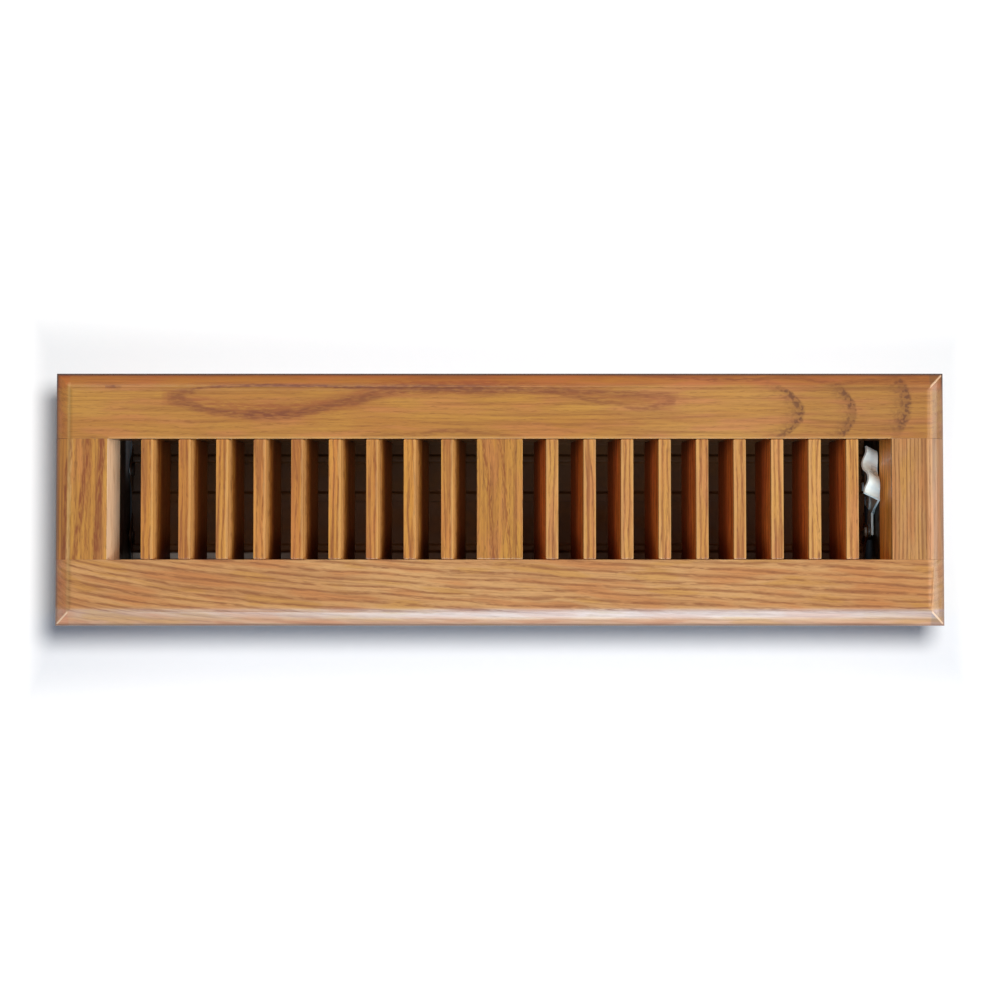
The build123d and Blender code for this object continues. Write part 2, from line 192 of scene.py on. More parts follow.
class Wiring:
    """Adds nodes to a node tree. A value may be a number, a vector, a colour or another node's output."""

    def __init__(self, tree):
        self.tree = tree

    def feed(self, socket, value):
        if isinstance(value, bpy.types.NodeSocket):
            self.tree.links.new(value, socket)
        else:
            socket.default_value = value

    def node(self, kind, inputs=None, **settings):
        made = self.tree.nodes.new(kind)
        for name, value in settings.items():
            setattr(made, name, value)
        for name, value in (inputs or {}).items():
            self.feed(made.inputs[name], value)
        return made

    def math(self, operation, *values, clamp=False):
        made = self.node("ShaderNodeMath", operation=operation, use_clamp=clamp)
        for socket, value in zip(made.inputs, values):
            self.feed(socket, value)
        return made.outputs[0]

    def times(self, first, *others):
        for other in others:
            first = self.math("MULTIPLY", first, other)
        return first

    def combine(self, x, y, z):
        return self.node("ShaderNodeCombineXYZ", {"X": x, "Y": y, "Z": z}).outputs[0]

    def split(self, vector):
        return self.node("ShaderNodeSeparateXYZ", {"Vector": vector}).outputs

    def noise(self, vector, detail=2.0, roughness=0.5):
        inputs = {"Vector": vector, "Scale": 1.0, "Detail": detail, "Roughness": roughness}
        return self.node("ShaderNodeTexNoise", inputs).outputs[0]

    def ease(self, value, low, high, to_low=0.0, to_high=1.0):
        inputs = {0: value, 1: low, 2: high, 3: to_low, 4: to_high}
        return self.node("ShaderNodeMapRange", inputs, interpolation_type="SMOOTHSTEP").outputs[0]

    def curve(self, value, points):
        """Smooth curve through (value, result) points, level beyond its ends."""
        places = np.array(points, dtype=float)
        low = places.min(axis=0)
        span = np.maximum(places.max(axis=0) - low, 1e-6)
        shares = ((places - low) / span).tolist()
        reach = self.node("ShaderNodeMapRange", {0: value, 1: low[0], 2: low[0] + span[0]}).outputs[0]
        made = self.node("ShaderNodeFloatCurve", {"Value": reach})
        line = made.mapping.curves[0].points
        line[0].location = shares[0]
        line[1].location = shares[-1]
        for share in shares[1:-1]:
            line.new(*share)
        made.mapping.update()
        return self.math("MULTIPLY_ADD", made.outputs[0], span[1], low[1])

    def mix(self, share, first, second, blend_type="MIX"):
        inputs = {0: share, 6: first, 7: second}
        made = self.node("ShaderNodeMix", inputs, data_type="RGBA", blend_type=blend_type)
        return made.outputs[2]

    def tint(self, share, colour, factor):
        return self.mix(share, colour, factor, "MULTIPLY")

    def group(self, tree, **inputs):
        made = self.node("ShaderNodeGroup", node_tree=tree)
        for name, value in inputs.items():
            self.feed(made.inputs[name.replace("_", " ")], value)
        return made.outputs

    def place_mm(self):
        """X, Y and Z of the surface in millimetres."""
        where = self.node("ShaderNodeTexCoord").outputs["Object"]
        scaled = self.node("ShaderNodeVectorMath", {0: where, "Scale": 1 / MM}, operation="SCALE")
        return self.split(scaled.outputs[0])


def new_group(name, inputs, outputs):
    """Empty shader node group with float inputs and float outputs of the given names."""
    tree = bpy.data.node_groups.new(name, "ShaderNodeTree")
    for label in inputs:
        tree.interface.new_socket(label, in_out="INPUT", socket_type="NodeSocketFloat")
    for label in outputs:
        tree.interface.new_socket(label, in_out="OUTPUT", socket_type="NodeSocketFloat")
    wiring = Wiring(tree)
    return tree, wiring, wiring.node("NodeGroupInput").outputs, wiring.node("NodeGroupOutput").inputs


def stretched(w, along, across, depth, seed, length, width):
    """Place scaled so that one noise cell is that long along the grain and that wide across it."""
    return w.combine(
        w.math("MULTIPLY_ADD", seed, 37.0, w.math("DIVIDE", along, length)),
        w.math("DIVIDE", across, width),
        w.math("ADD", w.math("DIVIDE", depth, width), seed),
    )


def oak_grain_group():
    """Oak grain along one direction: lines broken into dashes, pores, fibres, bands and slow tones.

    Lines are a triangle wave of the across coordinate, waved by noise, and fade where a noise drawn
    out along the grain is low. Pores are fine drawn-out noise kept where it is high.
    """
    tree, w, given, out = new_group(
        "oak_grain",
        ("Along", "Across", "Depth", "Seed", "Spacing", "Dash Length", "Waviness"),
        ("Tone", "Lines", "Pores", "Fibres", "Bands", "Patches"),
    )
    along, across, depth, seed = (given[name] for name in ("Along", "Across", "Depth", "Seed"))

    def cells(length, width, detail):
        return w.noise(stretched(w, along, across, depth, seed, length, width), detail)

    wave = w.math("SUBTRACT", cells(38.0, 9.0, 2.0), 0.5)
    waved = w.math("MULTIPLY_ADD", wave, w.math("MULTIPLY", given["Waviness"], 6.0), across)
    saw = w.math("FRACT", w.math("DIVIDE", waved, given["Spacing"]))
    hill = w.math("SUBTRACT", 1.0, w.math("ABSOLUTE", w.math("MULTIPLY_ADD", saw, 2.0, -1.0)))
    line = w.ease(hill, 0.36, 0.95)
    dash_place = stretched(w, along, waved, depth, seed, given["Dash Length"], 1.4)
    dash = w.ease(w.noise(dash_place, 2.0), 0.34, 0.54)
    pores = w.ease(cells(3.4, 0.3, 1.0), 0.53, 0.66)
    w.feed(out["Tone"], cells(75.0, 9.0, 3.0))
    w.feed(out["Lines"], w.times(line, w.math("MULTIPLY_ADD", dash, 0.8, 0.2)))
    w.feed(out["Pores"], w.times(pores, w.math("MULTIPLY_ADD", line, 0.6, 0.4)))
    w.feed(out["Fibres"], cells(24.0, 0.5, 2.0))
    w.feed(out["Bands"], cells(48.0, 1.7, 2.0))
    w.feed(out["Patches"], cells(26.0, 4.5, 2.0))
    return tree


def grain_streak_group():
    """Dark streak of grain: strongest on its middle line, ragged, and broken up by fibres."""
    tree, w, given, out = new_group(
        "grain_streak",
        ("Along", "Across", "Middle", "Half Width", "Strength", "Breaks", "Seed"),
        ("Mask",),
    )
    along, across, seed = given["Along"], given["Across"], given["Seed"]
    rag = w.noise(stretched(w, along, across, 0.0, seed, 7.0, 2.2), 2.0)
    aside = w.math("SUBTRACT", across, given["Middle"])
    aside = w.math("ADD", aside, w.math("MULTIPLY_ADD", rag, 1.6, -0.8))
    share = w.math("DIVIDE", w.math("ABSOLUTE", aside), given["Half Width"])
    gaps = w.ease(w.noise(stretched(w, along, across, 0.0, seed, 3.4, 0.6), 1.5), 0.6, 0.38)
    fibre = w.math("SUBTRACT", 1.0, w.times(gaps, given["Breaks"]))
    w.feed(out["Mask"], w.times(w.ease(share, 0.3, 1.3, 1.0, 0.0), given["Strength"], fibre))
    return tree


def crescent_group():
    """Crescent where a growth ring comes to the surface: a parabola with a sharp outer side.

    A band of dark dots trails off from its inner side, and its horns fade out.
    """
    tree, w, given, out = new_group(
        "grain_crescent",
        ("Along", "Across", "Apex", "Middle", "Bend", "Thickness", "Seed"),
        ("Mask",),
    )
    along, across, seed = given["Along"], given["Across"], given["Seed"]
    rise = w.math("SUBTRACT", across, given["Middle"])
    front = w.math("SUBTRACT", given["Apex"], w.times(given["Bend"], rise, rise))
    rag = w.noise(stretched(w, along, across, 0.0, seed, 1.6, 1.6), 2.0)
    behind = w.math("ADD", w.math("SUBTRACT", front, along), w.math("MULTIPLY_ADD", rag, 1.8, -0.9))
    behind = w.math("DIVIDE", behind, given["Thickness"])
    line = w.times(w.ease(behind, -0.2, 0.25), w.ease(behind, 0.5, 1.6, 1.0, 0.0))
    dots = w.ease(w.noise(stretched(w, along, across, 0.0, seed, 1.7, 1.5), 1.5), 0.44, 0.6)
    trail = w.times(w.ease(behind, -0.1, 0.2), w.ease(behind, 0.4, 2.6, 1.0, 0.0))
    solid = w.times(line, w.math("MULTIPLY_ADD", dots, 0.55, 0.42))
    mask = w.math("MAXIMUM", solid, w.times(trail, w.math("MULTIPLY_ADD", dots, 0.35, 0.2)))
    w.feed(out["Mask"], w.times(mask, w.ease(w.math("ABSOLUTE", rise), 7.5, 12.5, 1.0, 0.15)))
    return tree


def frame_edges_group():
    """Edges of the face frame: masks of its end bevels, mitres, crest and foot, for painted light and shade.

    It also gives how strong the grain is, which is weaker on the bevels, and how thick the varnish is.
    """
    tree, w, given, out = new_group(
        "frame_edges",
        ("X", "Y", "Z"),
        ("Left Bevel", "Left Foot", "Left Crest", "Right Bevel", "Mitre", "Foot Line", "Crest Drop",
         "Grain", "Varnish"),
    )
    x, y, z = given["X"], given["Y"], given["Z"]
    from_left = w.math("ADD", x, HALF_LENGTH)
    from_end = w.math("SUBTRACT", HALF_LENGTH, w.math("ABSOLUTE", x))
    from_side = w.math("SUBTRACT", HALF_WIDTH, w.math("ABSOLUTE", y))
    inwards = w.math("MINIMUM", from_end, from_side)

    # Masks for painted shade on the left bevel and its foot, and for a painted sheen on the right bevel
    below_top = w.ease(z, FACE_TOP - 0.1, FACE_TOP - 0.6)
    left = w.times(below_top, w.ease(from_left, 5.0, 6.0, 1.0, 0.0))
    low = w.ease(z, BEVEL_FOOT + 2.4, BEVEL_FOOT + 0.4)
    above_foot = w.ease(z, BEVEL_FOOT - 1.2, BEVEL_FOOT - 0.2)
    w.feed(out["Left Bevel"], left)
    w.feed(out["Left Foot"], w.times(left, low, above_foot))
    w.feed(out["Right Bevel"], w.times(below_top, w.ease(x, HALF_LENGTH - 6.0, HALF_LENGTH - 5.0)))
    w.feed(out["Grain"], w.ease(inwards, 4.6, 6.4, 0.35, 1.0))
    right_gloss = w.ease(x, HALF_LENGTH - 7.0, HALF_LENGTH - 4.5, 0.3, 0.45)
    w.feed(out["Varnish"], w.times(right_gloss, w.ease(from_left, 2.0, 5.0, 0.2, 1.0)))

    # A painted highlight runs along the crest of the left bevel, fainter towards the front
    crest_highlight = w.math("ABSOLUTE", w.math("SUBTRACT", from_left, 5.5))
    crest_highlight = w.times(w.ease(crest_highlight, 0.2, 0.8, 1.0, 0.0), w.ease(z, FACE_TOP - 1.0, FACE_TOP - 0.7))
    w.feed(out["Left Crest"], w.times(crest_highlight, w.ease(y, -40.0, -20.0, 0.1, 0.3)))

    # Painted highlights lie on the mitres where the bevels meet at the corners, but for the rear left one
    apart = w.math("ABSOLUTE", w.math("SUBTRACT", from_end, from_side))
    near = w.times(w.ease(apart, 0.2, 0.7, 1.0, 0.0), w.ease(from_end, 5.0, 5.8, 1.0, 0.0))
    above = w.ease(z, BEVEL_FOOT + 0.6, BEVEL_FOOT + 1.0)
    below = w.ease(z, FACE_TOP - 0.01, FACE_TOP - 0.1)
    corner = w.math("MAXIMUM", w.math("GREATER_THAN", x, 0.0), w.math("LESS_THAN", y, 0.0))
    w.feed(out["Mitre"], w.times(near, above, below, corner))

    # A dark line of painted shade runs along the foot of the bevels, strongest at the rear
    rise = w.math("DIVIDE", w.math("SUBTRACT", z, BEVEL_FOOT + 0.3), 0.75)
    line = w.math("EXPONENT", w.times(rise, rise, -1.0))
    strength = w.math("MAXIMUM", w.ease(x, 150.0, 168.0, 0.75, 0.4), w.ease(y, 40.0, 45.0, 0.0, 0.95))
    w.feed(out["Foot Line"], w.times(line, w.ease(inwards, 2.0, 3.0, 1.0, 0.0), strength))

    # The top is eased down to the crest of the bevels, by a height in millimetres
    past = w.math("DIVIDE", w.math("SUBTRACT", inwards, BEVEL_RUN), CREST_EASE)
    nearness = w.math("SUBTRACT", 1.0, past, clamp=True)
    w.feed(out["Crest Drop"], w.times(nearness, nearness, -CREST_EASE * CREST_SLOPE))
    return tree


def zinc_spangle_group():
    """Spangle of zinc-coated sheet: flat crystals in a cloudy shade."""
    tree, w, given, out = new_group("zinc_spangle", ("X", "Y", "Z"), ("Shade",))
    place = w.combine(*(w.math("DIVIDE", given[axis], SPANGLE_SIZE) for axis in "XYZ"))
    crystals = w.node("ShaderNodeTexVoronoi", {"Vector": place, "Scale": 1.0}).outputs["Color"]
    w.feed(out["Shade"], w.math("ADD", w.times(w.split(crystals)[0], 0.5), w.times(w.noise(place, 3.0), 0.5)))
    return tree


oak_grain = oak_grain_group()
grain_streak = grain_streak_group()
grain_crescent = crescent_group()
frame_edges = frame_edges_group()
zinc_spangle = zinc_spangle_group()


def finish_material(name, **shader_values):
    """New material with a Principled shader set to plain values; returns it, its wiring and shader."""
    material = bpy.data.materials.new(name)
    material.use_nodes = True
    wiring = Wiring(material.node_tree)
    shader = material.node_tree.nodes["Principled BSDF"]
    for label, value in shader_values.items():
        shader.inputs[label.replace("_", " ")].default_value = value
    return material, wiring, shader


def traced(rows, along_x):
    """Rows of (pixel x, pixel y, width in pixels, strength), brought to millimetres and sorted.

    A row comes back as (along, across, half width, strength).
    """
    table = np.array(rows, dtype=float)
    x, y = photo_place(table[:, 0], table[:, 1])
    along, across = (x, y) if along_x else (y, x)
    placed = np.column_stack([along, across, table[:, 2] * MM_PER_PIXEL / 2, table[:, 3]])
    return placed[np.argsort(placed[:, 0])]


def add_streak(w, wood, along, across, rows, colour, seed, breaks=0.6):
    """Lay a streak whose middle line, width and strength follow curves along the grain over the wood."""
    middle, half, strength = (w.curve(along, rows[:, (0, column)]) for column in (1, 2, 3))
    mask = w.group(grain_streak, Along=along, Across=across, Middle=middle, Half_Width=half,
                   Strength=strength, Breaks=breaks, Seed=seed)["Mask"]
    return w.mix(mask, wood, colour)


def add_edges(w, wood, edges):
    """Redder painted shade and a crest highlight at the left end, duller painted sheen at the right, foot
    shade, lit mitres.
    """
    wood = w.tint(edges["Left Bevel"], wood, BEVEL_SHADE_TINT)
    wood = w.tint(edges["Left Foot"], wood, LEFT_FOOT_SHADE_TINT)
    wood = w.tint(edges["Right Bevel"], wood, RIGHT_SHEEN_TINT)
    wood = w.mix(edges["Left Crest"], wood, OAK_HIGHLIGHT)
    wood = w.mix(edges["Foot Line"], wood, OAK_FOOT_SHADE)
    return w.mix(w.times(edges["Mitre"], 0.7), wood, OAK_PAINTED_LIGHT)


def oak_material(name, along_x, seed, palette, spacing=3.2, dash=14.0, waviness=0.5, line_share=0.5,
                 pore_share=0.35, band_share=0.5, bend=None, figure=None, varnish=None,
                 coat_roughness=0.12, framed=False):
    """Varnished oak with grain along X or Y.

    bend(w, x, y) may give a curved across coordinate, figure(w, wood, at) lays the piece's own markings
    over the plain grain, and varnish(w, at) gives how thick the varnish is. A framed piece has the
    edges of the face frame.
    """
    material, w, shader = finish_material(
        name, Specular_IOR_Level=0.3, Coat_Weight=0.3, Coat_Roughness=coat_roughness)
    light, middle, line, pore = palette
    x, y, z = w.place_mm()
    edges = w.group(frame_edges, X=x, Y=y, Z=z) if framed else None
    at = Place(x, y, z, edges)
    along, across = (x, y) if along_x else (y, x)
    if bend:
        across = bend(w, x, y)
    slanted = w.math("MULTIPLY_ADD", z, 0.6, across)
    grain = w.group(oak_grain, Along=along, Across=slanted, Depth=z, Seed=seed, Spacing=spacing,
                    Dash_Length=dash, Waviness=waviness)

    wood = w.mix(w.ease(grain["Tone"], 0.3, 0.7), middle, light)
    wood = w.mix(w.ease(grain["Patches"], 0.46, 0.66, 0.0, 0.6), wood, OAK_ROSY)
    wood = w.mix(w.ease(grain["Patches"], 0.46, 0.34, 0.0, 0.45), wood, OAK_GOLDEN)
    wood = w.mix(w.ease(grain["Bands"], 0.5, 0.66, 0.0, band_share), wood, line)
    wood = w.mix(w.ease(grain["Bands"], 0.46, 0.36, 0.0, band_share * 0.6), wood, light)
    wood = w.mix(w.ease(grain["Fibres"], 0.5, 0.68, 0.0, 0.3), wood, line)
    strength = edges["Grain"] if framed else 1.0
    wood = w.mix(w.times(grain["Lines"], line_share, strength), wood, line)
    wood = w.mix(w.times(grain["Pores"], pore_share, strength), wood, pore)
    if figure:
        wood = figure(w, wood, at)
    if framed:
        wood = add_edges(w, wood, edges)
    w.feed(shader.inputs["Base Color"], wood)

    if varnish:
        w.feed(shader.inputs["Coat Weight"], varnish(w, at))
    w.feed(shader.inputs["Roughness"], w.ease(grain["Pores"], 0.0, 1.0, 0.3, 0.5))
    height = w.math("ADD", w.times(grain["Pores"], -0.7), w.times(grain["Lines"], -0.3))
    bump = w.node("ShaderNodeBump", {"Height": height, "Strength": 0.2, "Distance": 0.1 * MM})
    if framed:
        settings = {"Height": edges["Crest Drop"], "Distance": MM, "Normal": bump.outputs[0]}
        bump = w.node("ShaderNodeBump", settings)
    w.feed(shader.inputs["Normal"], bump.outputs[0])
    return material


# Streaks of the rear rail: pixel x, pixel y, width in pixels, strength
PLUME = (
    (166, 398, 14, 0.0), (174, 399, 14, 0.6), (185, 402, 14, 0.75), (203, 409, 9, 0.8), (219, 411.4, 8, 0.85),
    (240, 414, 9, 0.9), (257, 414.5, 11, 0.95), (288, 413.5, 11, 0.95), (305, 411, 10, 0.9),
    (322, 407.5, 10, 0.85), (336, 403.5, 10, 0.8), (353, 400, 11, 0.8), (366, 397, 11, 0.8),
    (383, 393, 11, 0.8), (405, 388.5, 11, 0.9), (450, 388.5, 11, 0.9), (490, 390, 10, 0.85),
    (520, 390, 8, 0.7), (548, 390, 7, 0.75), (588, 392, 7, 0.7), (640, 393.5, 7, 0.6), (670, 395, 7, 0.4),
    (680, 396, 5, 0.0),
)
PLUME_HALO = (
    (160, 397, 20, 0.0), (176, 398, 20, 0.6), (200, 404, 18, 0.6), (240, 409, 18, 0.65), (280, 410, 20, 0.7),
    (320, 406, 20, 0.65), (353, 399, 20, 0.6), (400, 388, 20, 0.65), (450, 387, 20, 0.65),
    (520, 388, 18, 0.5), (590, 391, 14, 0.4), (660, 396, 12, 0.3), (690, 398, 10, 0.0),
)
PLUME_TOP = (
    (170, 395, 10, 0.0), (178, 393, 9, 0.7), (190, 390.5, 7, 0.7), (203, 388, 4, 0.75),
    (217, 386.4, 3.5, 0.85), (243, 385.4, 3.5, 0.95), (288, 385, 4, 1.0), (322, 386, 4, 0.95),
    (348, 387, 4, 0.95), (379, 387.2, 4, 0.9), (410, 387.5, 4, 0.0),
)
WEDGE = (
    (545, 391, 4, 0.0), (560, 393, 4.5, 0.5), (576, 396.5, 5, 0.7), (597, 401, 5, 0.6), (620, 404, 5, 0.5),
    (643, 408, 6, 0.55), (660, 406, 9, 0.6), (670, 402, 10, 0.55), (677, 401, 8, 0.0),
)
WEDGE_FILL = (
    (560, 393, 4, 0.0), (590, 396, 8, 0.3), (630, 400, 14, 0.32), (665, 401, 16, 0.35), (676, 401, 10, 0.0),
)
LOWER_BAND = (
    (360, 436, 4, 0.0), (380, 435.5, 5, 0.4), (417, 435, 5, 0.5), (443, 431, 7, 0.5), (480, 432, 7, 0.45),
    (505, 435, 5, 0.4), (525, 437, 4, 0.0),
)
BEVEL_BAND = (
    (600, 374, 6, 0.0), (660, 376, 5, 0.4), (740, 379, 4, 0.6), (790, 377, 6, 0.4), (840, 383, 6, 0.5),
    (870, 380, 8, 0.5), (905, 379, 8, 0.4), (940, 380, 6, 0.3),
)
SMALL_KNOT = ((104, 386.4, 3, 0.0), (109, 386.4, 4, 0.8), (116, 386.4, 4, 0.75), (121, 386.2, 3, 0.0))
REAR_STREAKS = (
    (PLUME_HALO, OAK_RED), (WEDGE_FILL, OAK_RED), (PLUME, OAK_PLUME), (PLUME_TOP, OAK_PLUME),
    (WEDGE, OAK_PLUME), (LOWER_BAND, OAK_PLUME), (BEVEL_BAND, OAK_PLUME), (SMALL_KNOT, OAK_PLUME),
)

# Crescents of the rear rail: pixel x of the apex, pixel y of the middle, bend and thickness in pixels
CRESCENTS = ((805, 412, 0.032, 10), (857, 412, 0.021, 9), (912, 404, 0.0115, 11))

# Streaks of the left stile and the mullion, from the rear to the front
LEFT_STREAKS = (
    ((101.3, 437, 6.5, 0.9), (101.3, 449, 7.5, 1.0), (99.6, 475, 8, 1.0), (98.7, 492, 7.5, 0.95),
     (97.9, 517, 7.5, 1.0), (96.2, 535, 7.5, 1.0), (95.7, 560, 6.5, 0.85)),
    ((87.2, 437, 6, 0.85), (86, 460, 6.5, 0.95), (83.3, 483, 6.5, 0.95), (81.6, 500, 6.5, 0.95),
     (80, 513, 6.5, 0.9), (78, 530, 6.5, 0.9), (75.6, 547, 6, 0.85), (74, 560, 5, 0.75)),
    ((71, 437, 5, 0.85), (70, 453, 5, 0.85), (68, 462, 5, 0.85), (66, 483, 5, 0.9), (65.4, 509, 5, 0.85),
     (64.5, 530, 5, 0.85), (64, 560, 4.5, 0.65)),
    ((91, 437, 3, 0.4), (88, 480, 3.5, 0.55), (86, 520, 3.5, 0.6), (84, 560, 3, 0.5)),
)
# Painted highlight along the crest of the left stile's bevel
LEFT_CREST_HIGHLIGHT = (
    (72, 437, 3, 0.3), (69.7, 470, 4, 0.6), (69, 500, 4.5, 0.7), (68.2, 540, 4.5, 0.7), (67.5, 560, 4, 0.6),
)
MULLION_STREAKS = (
    ((482, 436, 4, 0.7), (487, 475, 4.5, 0.75), (490, 508, 4.5, 0.7), (494, 558, 4.5, 0.75)),
    ((499, 436, 4, 0.6), (504, 475, 4, 0.75), (506, 502, 4, 0.65), (510, 558, 4.5, 0.75)),
    ((512, 436, 2.5, 0.35), (515, 500, 3, 0.3), (517, 558, 3, 0.4)),
)


def rear_rail_figure(w, wood, at):
    """A long plume of dark grain, a wedge, a few bands, and three crescents near the right end."""
    x, y, z = at.x, at.y, at.z
    for seed, (rows, colour) in enumerate(REAR_STREAKS):
        wood = add_streak(w, wood, x, y, traced(rows, True), colour, seed + 0.5)
    for seed, (apex_x, middle_y, bend, thickness) in enumerate(CRESCENTS):
        apex, middle = photo_place(apex_x, middle_y)
        mask = w.group(grain_crescent, Along=x, Across=y, Apex=apex, Middle=middle, Bend=bend / MM_PER_PIXEL,
                       Thickness=thickness * MM_PER_PIXEL, Seed=seed + 0.3)["Mask"]
        wood = w.mix(w.times(mask, 0.9), wood, OAK_KNOT)
    wood = w.tint(w.ease(x, 20.0, 70.0), wood, ROSY_TINT)
    wood = w.tint(w.ease(x, 90.0, 125.0), wood, DULL_TINT)
    # A painted highlight on the rail's inner arris above the openings
    arris = w.times(w.ease(y, HALF_GAP + 1.0, HALF_GAP + 0.5), w.ease(z, FACE_TOP - 0.5, FACE_TOP - 0.2))
    open_side = w.ease(w.math("ABSOLUTE", x), HALF_OPENING, HALF_OPENING - 1.0)
    wood = w.mix(w.times(arris, open_side, 0.4), wood, OAK_HIGHLIGHT)
    # Painted shade on the rear bevel, deeper towards its foot
    bevel = w.times(w.ease(z, FACE_TOP - 0.05, FACE_TOP - 0.6), w.ease(y, HALF_WIDTH - 7, HALF_WIDTH - 5))
    wood = w.tint(bevel, wood, BEVEL_SHADE_TINT)
    low = w.ease(z, BEVEL_FOOT + 2.6, BEVEL_FOOT + 0.4)
    above_foot = w.ease(z, BEVEL_FOOT - 0.9, BEVEL_FOOT - 0.1)
    wood = w.tint(w.times(bevel, low, above_foot), wood, FOOT_SHADE_TINT)
    wall = w.times(w.ease(y, HALF_GAP + 0.3, HALF_GAP), w.ease(z, FACE_TOP - 0.2, FACE_TOP - 0.7))
    return w.mix(w.times(wall, 0.9), wood, OAK_SHADE)


def front_rail_figure(w, wood, at):
    """Darker stain towards both ends of the rail, and a painted highlight on the bevel, palest along its
    crest and light low down.
    """
    aside = w.math("ABSOLUTE", w.math("SUBTRACT", at.x, 20.0))
    wood = w.tint(w.ease(aside, 50.0, 150.0), wood, END_TINT)
    from_front = w.math("ADD", at.y, HALF_WIDTH)
    bevel = w.ease(from_front, 5.9, 6.9, 1.0, 0.0)
    wood = w.tint(bevel, wood, FRONT_HIGHLIGHT_TINT)
    wood = w.tint(w.ease(from_front, 1.2, 2.6, 1.0, 0.0), wood, FRONT_LOW_LIGHT_TINT)
    crest_highlight = w.times(w.ease(from_front, 2.8, 4.0), bevel)
    return w.tint(w.times(crest_highlight, w.ease(at.x, -90.0, 0.0, 0.5, 1.0)), wood, FRONT_CREST_HIGHLIGHT_TINT)


def front_rail_bend(w, x, y):
    """Across coordinate whose lines fall to the right: steeply near the left end, then gently."""
    fade = w.math("EXPONENT", w.math("MULTIPLY_ADD", x, -1 / STEEP_REACH, -HALF_LENGTH / STEEP_REACH))
    level = w.math("MULTIPLY_ADD", x, GENTLE_FALL, y)
    return w.math("MULTIPLY_ADD", fade, -STEEP_FALL * STEEP_REACH, level)


def left_stile_figure(w, wood, at):
    """Reddish streaks that run down the piece, a painted highlight along its crest, and painted light on the
    inner face, with faint lines.
    """
    x, y, z = at.x, at.y, at.z
    for seed, rows in enumerate(LEFT_STREAKS):
        wood = add_streak(w, wood, y, x, traced(rows, False), OAK_STREAK, seed + 0.7)
    # A painted highlight along the crest of the bevel
    wood = add_streak(w, wood, y, x, traced(LEFT_CREST_HIGHLIGHT, False), OAK_HIGHLIGHT, 4.7)
    lines = w.noise(stretched(w, y, z, x, 2.0, 14.0, 1.3), 2.0)
    painted_light = w.mix(w.ease(lines, 0.48, 0.64, 0.0, 0.32), OAK_PAINTED_LIGHT, wood)
    # Painted light on the inner face towards the opening
    painted_inner_light = w.times(w.ease(x, -HALF_OPENING - 0.1, 0.3 - HALF_OPENING), w.ease(z, -0.3, 0.0))
    return w.mix(painted_inner_light, wood, painted_light)


def mullion_figure(w, wood, at):
    """Wavy rows of dark pores."""
    for seed, rows in enumerate(MULLION_STREAKS):
        wood = add_streak(w, wood, at.y, at.x, traced(rows, False), OAK_STREAK, seed + 0.9, 0.95)
    return wood


def right_stile_figure(w, wood, at):
    """Painted bounce light, redder, on the inner face, from a little below its arris."""
    painted_inner_light = w.ease(at.x, HALF_OPENING + 0.1, HALF_OPENING - 0.3)
    return w.tint(w.times(painted_inner_light, w.ease(at.z, FACE_TOP - 0.5, FACE_TOP - 2.0)), wood, INNER_BOUNCE_TINT)


def slat_place(w, x, z):
    """Place across a louvre, outwards from its middle and along its lean, and a number of its own."""
    lower = w.math("SUBTRACT", SLAT_TOP, z)
    reach = w.math("MULTIPLY_ADD", lower, SLAT_LEAN, w.math("ABSOLUTE", x))
    count = w.math("ROUND", w.math("DIVIDE", w.math("SUBTRACT", reach, FIRST_SLAT), SLAT_PITCH))
    aside = w.math("SUBTRACT", reach, w.math("MULTIPLY_ADD", count, SLAT_PITCH, FIRST_SLAT))
    return aside, w.math("MULTIPLY_ADD", w.math("SIGN", x), 20.0, count)


